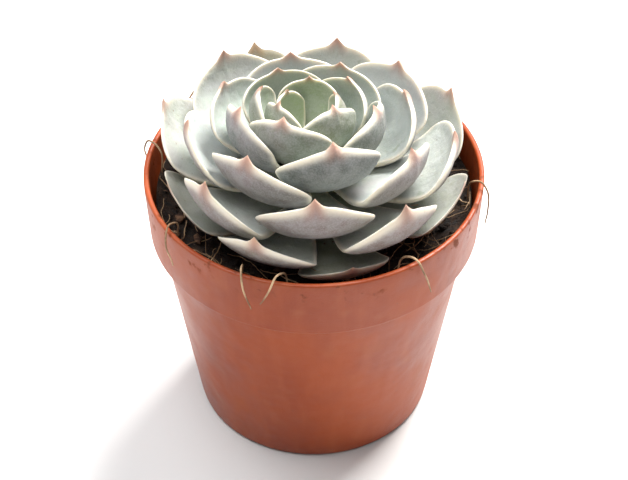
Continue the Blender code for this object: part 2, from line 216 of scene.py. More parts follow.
def clay_plastic():
    """Clay-red plastic, a little chalky, with soil smudges by the mouth and rubbed places."""
    finish, tree, shader, place = new_finish("clay_plastic")
    height = node(tree, "SeparateXYZ", {"Vector": place}).outputs["Z"]
    clouds = cloudy(tree, place, 16 * MM, 0.3, 0.7)
    colour = coloured(tree, clouds, (0.265, 0.042, 0.009), (0.345, 0.064, 0.014))
    flow = node(tree, "Mapping", {"Vector": place, "Scale": (1.0, 1.0, 0.12)}).outputs["Vector"]
    streaks = cloudy(tree, flow, 2.2 * MM, 0.42, 0.72)
    colour = coloured(tree, times(tree, streaks, 0.30), colour, (0.39, 0.086, 0.026))
    chalk = times(tree, cloudy(tree, place, 5 * MM, 0.52, 0.74, 5.0), 0.16)
    colour = coloured(tree, chalk, colour, (0.44, 0.165, 0.075))
    near_mouth = ramp(tree, height, POT_HEIGHT - 6 * MM, POT_HEIGHT - 1 * MM)
    smudges = times(tree, cloudy(tree, place, 1.9 * MM, 0.57, 0.68, 6.0), near_mouth)
    colour = coloured(tree, times(tree, smudges, 0.55), colour, (0.075, 0.035, 0.020))
    specks = cloudy(tree, place, 0.55 * MM, 0.70, 0.76, 2.0)
    colour = coloured(tree, times(tree, specks, 0.6), colour, (0.14, 0.06, 0.035))
    rubbed = ramp(tree, clouds, 0.0, 1.0, 0.36, 0.50)
    dull = plus(tree, rubbed, times(tree, plus(tree, chalk, smudges), 0.5))
    fine_grain = cloudy(tree, place, 0.22 * MM, 0.3, 0.7, 2.0)
    waves = raised(tree, cloudy(tree, place, 7 * MM, 0.3, 0.7, 2.0), 0.10 * MM)
    normal = raised(tree, fine_grain, 0.012 * MM, waves)
    feed(tree, shader, {"Base Color": colour, "Roughness": dull, "Normal": normal})
    shader.inputs["Specular IOR Level"].default_value = 0.30
    shader.inputs["Subsurface Weight"].default_value = 0.04
    shader.inputs["Subsurface Radius"].default_value = (1.2 * MM, 0.5 * MM, 0.3 * MM)
    return finish


def pot_outline():
    """Up the outside from the centre of the floor, over the lip and down the inside."""
    band_low = RIM_RADIUS - BAND_DRAFT
    ring_in = FOOT_RADIUS - FOOT_RING_WIDTH
    outside = [
        (0.0, GATE_STUB_Z, 0.0),
        (GATE_RADIUS, GATE_STUB_Z, 0.1 * MM),
        (GATE_RADIUS + 0.1 * MM, GATE_DISH, 0.1 * MM),
        (2.3 * MM, GATE_DISH, 0.3 * MM),
        (2.8 * MM, 0.0, 0.2 * MM),
        (FLOOR_DISC_RADIUS, 0.0, 0.2 * MM),
        (FLOOR_DISC_RADIUS + 0.5 * MM, FLOOR_RECESS, 0.3 * MM),
        (ring_in - 0.5 * MM, FLOOR_RECESS, 0.3 * MM),
        (ring_in, 0.0, 0.2 * MM),
        (FOOT_RADIUS - 0.1 * MM, 0.0, 0.9 * MM),
        (body_radius(1.5 * MM), 1.5 * MM, 0.6 * MM),
        (body_radius(SHOULDER_Z), SHOULDER_Z, 0.25 * MM),
        (band_low, SHOULDER_Z, 0.45 * MM),
        (RIM_RADIUS - 0.05 * MM, POT_HEIGHT - 1.6 * MM, 0.4 * MM),
        (RIM_RADIUS, POT_HEIGHT, 0.42 * MM),
        (RIM_RADIUS - POT_WALL, POT_HEIGHT, 0.42 * MM),
    ]
    inside = [
        (band_low - POT_WALL, SHOULDER_Z + 1.6 * POT_WALL, 0.6 * MM),
        (SHOULDER_RADIUS - POT_WALL, SHOULDER_Z + POT_WALL, 0.5 * MM),
        (body_radius(2.8 * MM) - POT_WALL, 2.8 * MM, 0.5 * MM),
        (body_radius(1.8 * MM) - POT_WALL - 1.0 * MM, FLOOR_THICKNESS, 0.5 * MM),
        (0.0, FLOOR_THICKNESS, 0.0),
    ]
    return soften(outside + inside)


def drain_cutter():
    """The six holes and the notch beside each, as one tool."""
    tools = bmesh.new()
    hole_ring = (FLOOR_DISC_RADIUS + FOOT_RADIUS - FOOT_RING_WIDTH) / 2 + 0.6 * MM
    notch_in = hole_ring + DRAIN_HOLE_RADIUS + 0.5 * MM
    notch_out = FOOT_RADIUS + 2.0 * MM
    for number in range(DRAIN_HOLES):
        turn = Matrix.Rotation(2 * math.pi * (number + 0.5) / DRAIN_HOLES, 4, "Z")
        bmesh.ops.create_cone(
            tools,
            cap_ends=True,
            segments=40,
            radius1=DRAIN_HOLE_RADIUS,
            radius2=DRAIN_HOLE_RADIUS,
            depth=4 * FLOOR_THICKNESS,
            matrix=turn @ Matrix.Translation((0.0, -hole_ring, 0.0)),
        )
        size = Matrix.Diagonal((NOTCH_WIDTH, notch_out - notch_in, 2 * NOTCH_HEIGHT, 1.0))
        middle = Matrix.Translation((0.0, -(notch_in + notch_out) / 2, 0.0))
        bmesh.ops.create_cube(tools, size=1.0, matrix=turn @ middle @ size)
    mesh = bpy.data.meshes.new("drain_cutter")
    tools.to_mesh(mesh)
    tools.free()
    cutter = bpy.data.objects.new("drain_cutter", mesh)
    bpy.context.scene.collection.objects.link(cutter)
    return cutter


def cut_away(target, cutter):
    """Cuts for good, so that nothing of the tool is left."""
    step = target.modifiers.new("drain", "BOOLEAN")
    step.operation = "DIFFERENCE"
    step.object = cutter
    ready = target.evaluated_get(bpy.context.evaluated_depsgraph_get())
    mesh = bpy.data.meshes.new_from_object(ready)
    target.modifiers.clear()
    target.data = mesh
    bpy.data.objects.remove(cutter, do_unlink=True)


pot = turned("nursery_pot", pot_outline(), POT_SIDES, clay_plastic(), "clay_plastic")
cut_away(pot, drain_cutter())
smooth(pot, 40.0)
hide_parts("pot")

# ---------------------------------------------------------------- the growing medium
# Peat and coir, pressed in round the roots: dark crumbs and clods with a rough top, hollowed under
# the rosette and banked up at the wall. Loose crumbs and bits of bark lie on it.

GAP = 0.3 * MM
MEDIUM_CENTRE_Z = POT_HEIGHT - 10.2 * MM
MEDIUM_EDGE_Z = POT_HEIGHT - 4.4 * MM
MEDIUM_RADIUS = RIM_RADIUS - BAND_DRAFT - POT_WALL - GAP
MEDIUM_SIDES = 220
MEDIUM_RINGS = 64
STEM_RADIUS = 4.2 * MM
STEM_FOOT_Z = POT_HEIGHT - 17.0 * MM
CRUMBS = 620
BARK_BITS = 46
LUMPS_FROM_RADIUS = 10.0 * MM


def medium_top(bearing, radius):
    """Height of the medium's top before its clods."""
    outer = RIM_RADIUS - POT_WALL - GAP
    bank = (radius / outer) ** 3
    waves = math.sin(3 * bearing + 0.8) + 0.8 * math.sin(7 * bearing + 2.1)
    return mix(MEDIUM_CENTRE_Z, MEDIUM_EDGE_Z, bank) + 0.3 * MM * waves * (radius / outer)


def clods(bearing, radius):
    """Height of the clods and crumbs pressed into the top."""
    at = around(bearing, radius, 0.0) / MM
    big = noise.noise(at * 0.33) * 0.55
    small = noise.noise(at * 1.1 + Vector((7.0, 3.0, 1.0))) * 0.42
    grit = noise.noise(at * 3.1 + Vector((1.0, 9.0, 5.0))) * 0.18
    return (big + abs(small) + grit - 0.15) * MM


def medium_mesh():
    """The top as rings from the wall in to the stem's socket, then the socket and the outside."""
    socket = STEM_RADIUS + GAP
    rings = [(mix(MEDIUM_RADIUS, socket, ring / MEDIUM_RINGS), None) for ring in range(MEDIUM_RINGS + 1)]
    wall = [
        (MEDIUM_RADIUS, SHOULDER_Z + 1.6 * POT_WALL + GAP),
        (SHOULDER_RADIUS - POT_WALL - GAP, SHOULDER_Z + POT_WALL + GAP),
        (body_radius(2.8 * MM) - POT_WALL - GAP, 2.8 * MM + GAP),
        (body_radius(1.8 * MM) - POT_WALL - 1.0 * MM - GAP, FLOOR_THICKNESS + GAP),
        (0.6 * FOOT_RADIUS, FLOOR_THICKNESS + GAP),
    ]
    hole = [(socket, MEDIUM_CENTRE_Z - 1.5 * MM), (socket, STEM_FOOT_Z - GAP)]
    rows = wall[::-1] + rings + hole
    points = []
    for radius, z in rows:
        for side in range(MEDIUM_SIDES):
            bearing = 2 * math.pi * side / MEDIUM_SIDES
            height = z
            if z is None:
                settle = 0.35 if radius in (MEDIUM_RADIUS, socket) else 1.0
                height = medium_top(bearing, radius) + settle * clods(bearing, radius)
            points.append(around(bearing, radius, height))
    bottom, top = len(points), len(points) + 1
    points += [Vector((0, 0, FLOOR_THICKNESS + GAP)), Vector((0, 0, STEM_FOOT_Z - GAP))]
    faces = []
    last = (len(rows) - 1) * MEDIUM_SIDES
    for side in range(MEDIUM_SIDES):
        after = (side + 1) % MEDIUM_SIDES
        for row in range(len(rows) - 1):
            low = row * MEDIUM_SIDES
            high = low + MEDIUM_SIDES
            faces.append((low + side, high + side, high + after, low + after))
        faces.append((bottom, side, after))
        faces.append((top, last + after, last + side))
    return points, faces


def peat():
    """Nearly black, with browner crumbs, and moist enough for a faint gloss in places."""
    finish, tree, shader, place = new_finish("peat")
    crumbs = cloudy(tree, place, 1.3 * MM, 0.35, 0.65, 6.0, 0.65)
    colour = coloured(tree, crumbs, (0.010, 0.006, 0.004), (0.058, 0.032, 0.019))
    brown = cloudy(tree, place, 3.4 * MM, 0.50, 0.68, 5.0)
    colour = coloured(tree, times(tree, brown, 0.7), colour, (0.105, 0.058, 0.032))
    pale = cloudy(tree, place, 0.55 * MM, 0.66, 0.74, 3.0)
    colour = coloured(tree, times(tree, pale, 0.6), colour, (0.24, 0.15, 0.085))
    dry = ramp(tree, crumbs, 0.0, 1.0, 0.68, 0.97)
    rough = raised(tree, cloudy(tree, place, 0.45 * MM, 0.3, 0.7, 8.0, 0.7), 0.35 * MM)
    feed(tree, shader, {"Base Color": colour, "Roughness": dry, "Normal": rough})
    return finish


def scattered_lumps(count, seed, longest, squash):
    """Small closed lumps on the medium, as one list of points and one of faces."""
    rng = random.Random(seed)
    ball = bmesh.new()
    bmesh.ops.create_icosphere(ball, subdivisions=2, radius=1.0)
    shape = [vertex.co.copy() for vertex in ball.verts]
    sheet = [[vertex.index for vertex in face.verts] for face in ball.faces]
    ball.free()
    points, faces = [], []
    for lump in range(count):
        bearing = rng.uniform(0.0, 2 * math.pi)
        radius = mix(LUMPS_FROM_RADIUS, MEDIUM_RADIUS - 0.7 * MM, rng.random() ** 0.6)
        size = longest * mix(0.28, 1.0, rng.random() ** 2.2)
        middle = around(bearing, radius, medium_top(bearing, radius) + clods(bearing, radius))
        middle.z += 0.25 * size * squash
        turn = Matrix.Rotation(rng.uniform(0, math.pi), 3, "Z")
        turn = turn @ Matrix.Rotation(rng.uniform(-0.7, 0.7), 3, "X")
        stretch = Vector((1.0, rng.uniform(0.45, 0.8), squash * rng.uniform(0.6, 1.0)))
        first = len(points)
        for corner in shape:
            bumpy = 0.75 + 0.5 * noise.noise(corner * 1.9 + Vector((lump * 3.7, 0.0, 0.0)))
            spot = Vector((corner.x * stretch.x, corner.y * stretch.y, corner.z * stretch.z))
            points.append(middle + turn @ (spot * bumpy * size / 2))
        faces += [[first + corner for corner in face] for face in sheet]
    return points, faces


peat_finish = peat()
medium = piece("growing_medium_top", *medium_mesh(), peat_finish, "peat")
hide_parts("growing_medium")
piece("medium_crumbs", *scattered_lumps(CRUMBS, 11, 1.9 * MM, 0.8), peat_finish, "peat")


def bark():
    """Reddish brown composted bark, paler along its fibres."""
    finish, tree, shader, place = new_finish("bark")
    grain = node(tree, "Mapping", {"Vector": place, "Scale": (0.35, 1.0, 1.0)}).outputs["Vector"]
    fibres = cloudy(tree, grain, 0.5 * MM, 0.35, 0.65, 4.0)
    colour = coloured(tree, fibres, (0.050, 0.022, 0.012), (0.20, 0.105, 0.055))
    feed(tree, shader, {"Base Color": colour, "Normal": raised(tree, fibres, 0.15 * MM)})
    shader.inputs["Roughness"].default_value = 0.82
    return finish


piece("bark_bits", *scattered_lumps(BARK_BITS, 23, 3.6 * MM, 0.4), bark(), "peat")

# ---------------------------------------------------------------- the stem
# A short fleshy stem stands in the medium and carries every leaf. Below the rosette it is corky
# and ringed by the scars of leaves it has dropped; above, it tapers to the growing tip.

STEM_LOW_Z = POT_HEIGHT - 6.2 * MM
STEM_TOP_Z = POT_HEIGHT + 9.0 * MM
STEM_TOP_RADIUS = 0.9 * MM
STEM_SIDES = 48
STEM_STEPS = 60
SCAR_SPACING = 1.3 * MM
SCAR_DEPTH = 0.05 * MM
ROSETTE_RADIUS = 26.6 * MM
LEAN_X = -1.2 * MM
LEAN_Y = -2.0 * MM
HEART_TILT = 8.0 * MM


def stem_radius(z):
    share = np.clip((z - STEM_LOW_Z) / (STEM_TOP_Z - STEM_LOW_Z), 0.0, 1.0)
    return mix(STEM_RADIUS, STEM_TOP_RADIUS, share**1.1)


def sway(x, y, z):
    """Makes the plant uneven: some sides reach further and stand higher, and its heart leans."""
    bearing = np.arctan2(x, -y)
    reach = np.hypot(x, y) / ROSETTE_RADIUS
    wider = 1.0 + reach * (0.020 * np.sin(2 * bearing + 0.6) + 0.015 * np.sin(3 * bearing + 2.0))
    lift = 0.5 * MM * reach * np.sin(bearing + 2.4) + 0.3 * MM * reach * np.sin(3 * bearing)
    high = np.clip((z - STEM_LOW_Z) / (STEM_TOP_Z - STEM_LOW_Z), 0.0, 1.0)
    lean = high**2 * np.maximum(0.0, 1.0 - reach**2)
    lift = lift + HEART_TILT * reach * np.cos(bearing) * lean * np.maximum(0.0, 1.0 - reach**2)
    return np.stack([x * wider + LEAN_X * lean, y * wider + LEAN_Y * lean, z + lift], axis=-1)


def stem_outline():
    outline = [(0.0, STEM_FOOT_Z), (0.5 * STEM_RADIUS, STEM_FOOT_Z)]
    for step in range(STEM_STEPS + 1):
        z = mix(STEM_FOOT_Z + 0.6 * MM, STEM_TOP_Z, step / STEM_STEPS)
        foot = min(1.0, 0.62 + (z - STEM_FOOT_Z) / (5.0 * MM))
        scar = SCAR_DEPTH * math.sin(2 * math.pi * z / SCAR_SPACING)
        outline.append((float(stem_radius(z)) * foot - 0.06 * MM + scar, z))
    return outline + [(0.0, STEM_TOP_Z + 0.4 * MM)]


def stem_bark():
    """Green-grey where young, brown and corky near the medium."""
    finish, tree, shader, place = new_finish("stem_bark")
    height = node(tree, "SeparateXYZ", {"Vector": place}).outputs["Z"]
    young = ramp(tree, height, STEM_LOW_Z - 3 * MM, STEM_LOW_Z + 4 * MM)
    flecks = cloudy(tree, place, 0.9 * MM, 0.38, 0.62, 5.0)
    corky = coloured(tree, flecks, (0.095, 0.060, 0.035), (0.24, 0.17, 0.10))
    green = coloured(tree, flecks, (0.25, 0.28, 0.16), (0.40, 0.42, 0.28))
    colour = coloured(tree, young, corky, green)
    feed(tree, shader, {"Base Color": colour, "Normal": raised(tree, flecks, 0.15 * MM)})
    shader.inputs["Roughness"].default_value = 0.75
    return finish


stem = turned("plant_stem", stem_outline(), STEM_SIDES, stem_bark(), "stem_green")
for vertex in stem.data.vertices:
    vertex.co = sway(*vertex.co)
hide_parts("stem")

# ---------------------------------------------------------------- the leaves
# Thirty-four thick leaves stand on the stem in a spiral, each 137.5 degrees on from the one before.
# Every leaf has a layer of its own, nested in the last like bowls, so no two of them meet. A blade is
# narrow at the stem, broad at the end, and has a blunt round margin and a small hard point.

LEAVES = 34
LAYER = 1.0 / 40
GOLDEN_ANGLE = math.radians(137.508)
FIRST_BEARING = math.radians(12.0)
PROFILE_START = -0.30
PROFILE_STEP = 0.15
PROFILE_RADIUS = np.array([25.0, 25.4, 25.4, 25.2, 22.0, 17.0, 10.9, 5.8, 2.4, 1.2, 0.8]) * MM
PROFILE_RISE = np.array([-6.4, -1.4, 3.3, 7.3, 10.8, 13.0, 16.2, 17.4, 14.6, 11.4, 8.2]) * MM
LEAF_DROOP = math.radians(26.0)
OLDEST_TIP_SLOPE = math.radians(78.0)
YOUNGEST_TIP_SLOPE = math.radians(116.0)
STEEPEST_AGE = 0.7
BASE_HANDLE = 0.38
TIP_HANDLE = 0.43
AGE_SCATTER = 0.1
TURN_SCATTER = 2.5
OLDEST_LENGTH = 0.89
OLDEST_WIDTH = 0.90
SLIMMER_FROM_AGE = 0.45
LEAF_THICKNESS = 3.0 * MM
YOUNGEST_THICKNESS = 0.34 * LEAF_THICKNESS
LEAF_TURNS = {2: 5.0, 3: 4.0, 8: 5.0, 9: 1.0, 10: 8.0, 16: 5.0, 21: -4.0, 26: -10.0, 31: -8.0}
LEAF_WIDTH = 18.8 * MM
HALF_ANGLE_MOST = math.radians(47.0)
LEAF_LAYERS_MOST = 4.0
SHARED_LAYERS = 2.4
LAYERS_BELOW = 0.7
LEAF_SHOULDER = 0.72
POINT_LENGTH = 0.062
POINT_WIDTH = 0.17
MARGIN_THICKNESS = 0.78 * MM
MARGIN_REACH = 0.58 * MM
POINT_REACH = 1.3 * MM


def smooth_between(before, start, end, after, t):
    """From start to end on a smooth line that also passes through the two points beside them."""
    bend = 2 * before - 5 * start + 4 * end - after
    turn = 3 * start - before - 3 * end + after
    return 0.5 * (2 * start + (end - before) * t + bend * t**2 + turn * t**3)


def profile(points, age):
    """Where the leaf ends lie at this age, on a smooth line through the profile's points."""
    place = (age - PROFILE_START) / PROFILE_STEP
    first = np.clip(np.floor(place).astype(int), 1, len(points) - 3)
    return smooth_between(*(points[first + step] for step in (-1, 0, 1, 2)), place - first)


def layer_point(age, along):
    """(radius, z) on the layer of this age, from the stem (along 0) to its outer edge (along 1)."""
    start_z = mix(STEM_LOW_Z, STEM_TOP_Z, age)
    start_radius = stem_radius(start_z) + GAP
    end_radius = profile(PROFILE_RADIUS, age)
    end_z = POT_HEIGHT + profile(PROFILE_RISE, age)
    span = np.hypot(end_radius - start_radius, end_z - start_z)
    leave = np.arctan2(end_z - start_z, end_radius - start_radius) - LEAF_DROOP
    arrive = mix(OLDEST_TIP_SLOPE, YOUNGEST_TIP_SLOPE, np.minimum(1.0, age / STEEPEST_AGE))
    near_radius = start_radius + BASE_HANDLE * span * np.cos(leave)
    near_z = start_z + BASE_HANDLE * span * np.sin(leave)
    far_radius = end_radius - TIP_HANDLE * span * np.cos(arrive)
    far_z = end_z - TIP_HANDLE * span * np.sin(arrive)
    a, b = (1 - along) ** 3, 3 * along * (1 - along) ** 2
    c, d = 3 * along**2 * (1 - along), along**3
    radius = a * start_radius + b * near_radius + c * far_radius + d * end_radius
    return radius, a * start_z + b * near_z + c * far_z + d * end_z


def layer_spacing(age, along):
    """Distance across the blade from one layer to the next."""
    low, high = layer_point(age - LAYER / 2, along), layer_point(age + LAYER / 2, along)
    before, after = layer_point(age, along - 0.02), layer_point(age, along + 0.02)
    run = np.hypot(after[0] - before[0], after[1] - before[1])
    out, up = (after[0] - before[0]) / run, (after[1] - before[1]) / run
    return np.abs((high[0] - low[0]) * up - (high[1] - low[1]) * out)


def leaf_traits(number):
    """What sets a leaf apart: age, bearing, length, half angle and thickness."""
    rng = random.Random(40 + number)
    age = max(0.0, (number + rng.uniform(-AGE_SCATTER, AGE_SCATTER)) * LAYER)
    turn = LEAF_TURNS.get(number, 0.0) + rng.uniform(-TURN_SCATTER, TURN_SCATTER)
    bearing = FIRST_BEARING + number * GOLDEN_ANGLE + math.radians(turn)
    length = rng.uniform(0.95, 1.0) * mix(OLDEST_LENGTH, 1.0, min(1.0, number / 3.0))
    grown = mix(OLDEST_WIDTH, 1.0, min(1.0, age / 0.2)) * (1 - max(0.0, age - SLIMMER_FROM_AGE))
    half_width = grown * rng.uniform(0.96, 1.03) * LEAF_WIDTH / 2
    sine = half_width / float(layer_point(age, 0.8)[0])
    half_angle = min(HALF_ANGLE_MOST, math.asin(min(0.99, sine)))
    thickness = mix(LEAF_THICKNESS, YOUNGEST_THICKNESS, age**1.6)
    return age, bearing, length, half_angle, thickness


def blade_section(across):
    """Thickness across the blade as a share of its middle: full for most of its width."""
    return np.maximum(0.0, 1 - np.abs(across) ** 3.0) ** 0.5


def layers_most(half_angle):
    """Leaves three apart overlap, so halfway between them each keeps to its share of the layers."""
    halfway = (3 * GOLDEN_ANGLE - 2 * math.pi) / 2
    if half_angle <= halfway:
        return LEAF_LAYERS_MOST
    return min(LEAF_LAYERS_MOST, SHARED_LAYERS / float(blade_section(halfway / half_angle)))


def leaf_columns():
    """Places across the blade, close together at the point and round the margins."""
    half = [0.0, 0.025, 0.055, 0.09, 0.13, 0.18, 0.24, 0.31, 0.39, 0.47, 0.55, 0.63, 0.70]
    half += [mix(0.70, 1.0, math.sin(step * math.pi / 20)) for step in range(1, 11)]
    return np.array([-place for place in half[:0:-1]] + half)


def leaf_rows():
    """Places along the blade, close together where its end turns over."""
    return np.array(
        [0.88 * step / 24 for step in range(25)]
        + [mix(0.88, 1.0, math.sin(step * math.pi / 20)) for step in range(1, 11)]
    )


def tip_line(across):
    """How far along its layer the blade reaches at each place across it."""
    round_end = np.maximum(0.0, 1 - across**2) ** 0.6
    point = POINT_LENGTH * np.maximum(0.0, 1 - np.abs(across) / POINT_WIDTH) ** 1.5
    return mix(LEAF_SHOULDER, 1.0, round_end) + point


def uneven(places, size, seed):
    """Smooth random numbers between -1 and 1 at these points, given in metres."""
    shift = Vector((seed * 13.1, seed * 7.7, seed * 3.3))
    return np.array([noise.noise(Vector(place) / size + shift) for place in places])


def leaf_faces(number, across, row):
    """Both faces of the blade as grids of points: [upper, lower][row, column]."""
    age, bearing, length, half_angle, thickness = leaf_traits(number)
    rng = random.Random(200 + number)
    ripple = 0.010 * np.sin(across * 5.3 + rng.uniform(0, 6)) * (1 - np.exp(-((across / 0.2) ** 2)))
    along = row * length * (tip_line(across) + ripple)
    spacing = layer_spacing(age, np.clip(along, 0.02, 1.0))
    swell = mix(0.62, 1.0, np.sin(math.pi * np.minimum(1.0, row + 0.12)) ** 0.7)
    section = blade_section(across) * (1 - row**5) ** 0.5
    layers = np.minimum(layers_most(half_angle), swell * thickness / spacing) * section
    blunt = (1 - np.abs(across) ** 16) ** 0.5 * (1 - row**40) ** 0.5
    margin = np.minimum(mix(0.95, 0.55, age), MARGIN_THICKNESS * mix(1.0, 0.5, age) / spacing) * blunt
    layers = np.hypot(layers, margin)
    edge = mix(0.86, 1.0, np.minimum(1.0, row / 0.5))
    edge = edge * (1 + 0.012 * np.sin(7 * row + rng.uniform(0, 6)) * row)
    angle = bearing + across * half_angle * edge
    faces = []
    for share in (1.0 - LAYERS_BELOW, -LAYERS_BELOW):
        radius, z = layer_point(age + share * layers * LAYER, along)
        faces.append(sway(radius * np.sin(angle), -radius * np.cos(angle), z))
    return faces


def dent(number, upper, lower):
    """Presses shallow dents into both faces, less where the blade is thin or young."""
    thick = upper - lower
    depth = np.linalg.norm(thick, axis=-1, keepdims=True)
    outward = thick / np.maximum(depth, 1e-9)
    room = np.minimum(1.0, depth[..., 0] / (1.5 * MM))
    for side, face in ((1, upper), (-1, lower)):
        flat = face.reshape(-1, 3)
        dents = 0.10 * uneven(flat, 4.5 * MM, number) + 0.035 * uneven(flat, 1.4 * MM, number + 50)
        dents *= max(0.3, 1.0 - 1.1 * number / LEAVES)
        face += side * outward * (dents.reshape(room.shape) * room * MM)[..., None]


def margin_and_point(across, row):
    """How much of the cream margin, and of the coloured point, shows at each place of the blade."""
    half = LEAF_WIDTH / 2
    from_side = (1 - np.abs(across)) * half * np.minimum(1.0, 0.25 + row)
    from_end = (1 - row) * 18 * MM
    from_point = np.hypot(across * half, (1 - row) * 20 * MM)
    margin = np.exp(-((np.minimum(from_side, from_end) / MARGIN_REACH) ** 2))
    return margin, np.exp(-((from_point / POINT_REACH) ** 2))


def leaf(number, finish):
    """Joins both faces round the margin and across the base, and marks them for the leaf's skin."""
    across, row = np.meshgrid(leaf_columns(), leaf_rows())
    tall, wide = row.shape
    upper, lower = leaf_faces(number, across, row)
    dent(number, upper, lower)
    closed = (row == row[-1]) | (np.abs(across) == 1.0)
    upper[closed] = lower[closed] = ((upper + lower) / 2)[closed]
    number_of = {}
    points = []

    def corner(line, column, side):
        key = (line, column, 0 if closed[line, column] else side)
        if key not in number_of:
            number_of[key] = len(points)
            points.append((upper if side == 1 else lower)[line, column])
        return number_of[key]

    faces = []
    for side in (1, -1):
        for line in range(tall - 1):
            for column in range(wide - 1):
                corners = [
                    corner(line, column, side),
                    corner(line, column + 1, side),
                    corner(line + 1, column + 1, side),
                    corner(line + 1, column, side),
                ]
                faces.append(corners[::side])
    for column in range(wide - 1):
        base = [corner(0, column + 1, 1), corner(0, column, 1)]
        base += [corner(0, column, -1), corner(0, column + 1, -1)]
        faces.append(list(dict.fromkeys(base)))
    made = piece(f"rosette_leaf_{number + 1:02d}", points, faces, finish, "leaf_skin", 60.0)
    lines, columns, sides = (np.array(part) for part in zip(*number_of))
    margin, point = margin_and_point(across, row)
    rng = random.Random(90 + number)
    values = {
        "margin": margin[lines, columns],
        "point": point[lines, columns],
        "along": row[lines, columns],
        "underside": (1 - sides) / 2,
        "youth": np.full(len(points), leaf_traits(number)[0] + rng.uniform(-0.025, 0.025)),
        "blush": np.full(len(points), rng.uniform(0.0, 1.0)),
    }
    for label, numbers in values.items():
        layer = made.data.attributes.new(label, "FLOAT", "POINT")
        layer.data.foreach_set("value", np.asarray(numbers, np.float32))
    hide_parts(f"leaf_{number + 1:02d}")


def mark(tree, name):
    return node(tree, "Attribute", {}, attribute_name=name).outputs["Fac"]


def shades(tree, value, stops):
    """A colour that runs through these stops, each (position, (r, g, b))."""
    band = node(tree, "ValToRGB", {"Fac": value})
    elements = band.color_ramp.elements
    while len(elements) < len(stops):
        elements.new(0.5)
    for element, (position, colour) in zip(elements, stops):
        element.position = position
        element.color = (*colour, 1.0)
    return band.outputs["Color"]


def leaf_skin():
    """Succulent skin under a white wax bloom: grey-green when young, lilac-grey later, olive when
    old; cream at the margins, tan-pink at the point, with rubbed patches and brown flecks. The
    undersides are much darker: partly their own pinker tone, partly painted shade."""
    finish, tree, shader, place = new_finish("leaf_skin")
    youth, along, underside_tone_and_shade = mark(tree, "youth"), mark(tree, "along"), mark(tree, "underside")
    margin, point, blush = mark(tree, "margin"), mark(tree, "point"), mark(tree, "blush")
    upper = shades(
        tree,
        youth,
        [
            (0.00, (0.300, 0.320, 0.215)),
            (0.12, (0.370, 0.410, 0.335)),
            (0.40, (0.425, 0.470, 0.440)),
            (0.62, (0.325, 0.400, 0.320)),
            (0.80, (0.310, 0.380, 0.225)),
        ],
    )
    # The lower faces get a far darker copy of the skin colours: their own pinker tone, plus painted
    # shade for the shade under the leaves.
    lower = shades(
        tree,
        youth,
        [
            (0.00, (0.175, 0.162, 0.100)),
            (0.12, (0.180, 0.132, 0.108)),
            (0.36, (0.186, 0.138, 0.130)),
            (0.55, (0.122, 0.138, 0.130)),
            (0.80, (0.205, 0.235, 0.140)),
        ],
    )
    # The undersides take the darker colours, painted shade included.
    colour = coloured(tree, underside_tone_and_shade, upper, lower)
    lilac = times(tree, cloudy(tree, place, 7 * MM, 0.38, 0.66), blush)
    colour = coloured(tree, times(tree, lilac, 0.45), colour, (0.420, 0.340, 0.365))
    bloom = cloudy(tree, place, 2.4 * MM, 0.32, 0.60, 5.0, 0.6)
    colour = coloured(tree, times(tree, bloom, 0.30), colour, (0.470, 0.480, 0.470))
    grain = cloudy(tree, place, 0.30 * MM, 0.40, 0.64, 3.0)
    colour = coloured(tree, times(tree, grain, 0.16), colour, (0.580, 0.580, 0.570))
    rubbed = cloudy(tree, place, 4.0 * MM, 0.62, 0.70, 6.0, 0.62)
    colour = coloured(tree, times(tree, rubbed, 0.45), colour, (0.215, 0.265, 0.180))
    base = ramp(tree, along, 0.42, 0.05)
    colour = coloured(tree, times(tree, base, 0.6), colour, (0.300, 0.340, 0.190))
    old = ramp(tree, youth, 0.55, 0.05)
    flecks = times(tree, cloudy(tree, place, 0.75 * MM, 0.67, 0.73, 3.0), old)
    colour = coloured(tree, times(tree, flecks, 0.85), colour, (0.200, 0.090, 0.040))
    colour = coloured(tree, times(tree, margin, 0.92), colour, (0.860, 0.790, 0.660))
    colour = coloured(tree, times(tree, point, 0.80), colour, (0.400, 0.170, 0.115))
    powdery = ramp(tree, bloom, 0.0, 1.0, 0.50, 0.74)
    pores = cloudy(tree, place, 0.16 * MM, 0.35, 0.65, 2.0)
    swells = raised(tree, cloudy(tree, place, 1.8 * MM, 0.3, 0.7, 3.0), 0.07 * MM)
    normal = raised(tree, pores, 0.010 * MM, swells)
    feed(tree, shader, {"Base Color": colour, "Roughness": powdery, "Normal": normal})
    shader.inputs["Specular IOR Level"].default_value = 0.38
    shader.inputs["Sheen Weight"].default_value = 0.08
    shader.inputs["Sheen Roughness"].default_value = 0.55
    shader.inputs["Subsurface Weight"].default_value = 0.15
    shader.inputs["Subsurface Radius"].default_value = (1.3 * MM, 1.0 * MM, 0.55 * MM)
    shader.inputs["Subsurface Scale"].default_value = 1.0
    return finish


skin = leaf_skin()
for number in range(LEAVES):
    leaf(number, skin)

# ---------------------------------------------------------------- the coir fibres
# Coarse coir strands from the medium, dry and springy. Nine of them hang over the rim; many finer
# ones lie on the medium and stick out of it. Each of the nine is given by its bearing and how far it
# drifts round the rim, in degrees, then by how far it hangs and how high it arches, in millimetres.

STRANDS = [
    (-27.0, 7.0, 5.5, 0.2),
    (-9.0, -8.0, 4.0, 0.4),
    (31.0, 9.0, 6.5, 0.3),
    (84.0, -10.0, 5.0, 0.2),
    (126.0, 12.0, 7.5, 0.5),
    (169.0, -14.0, 6.0, 0.3),
    (221.0, 11.0, 8.0, 0.2),
    (262.0, -9.0, 6.0, 0.4),
    (300.0, 9.0, 4.5, 0.3),
]
STRAND_CLEARANCE = 0.28 * MM
COARSE_RADIUS = 0.17 * MM
FINE_RADIUS = 0.075 * MM
FINE_FIBRES = 120
FINE_STEPS = 16
FINE_STEP = 0.62 * MM
FIBRE_SIDES = 7


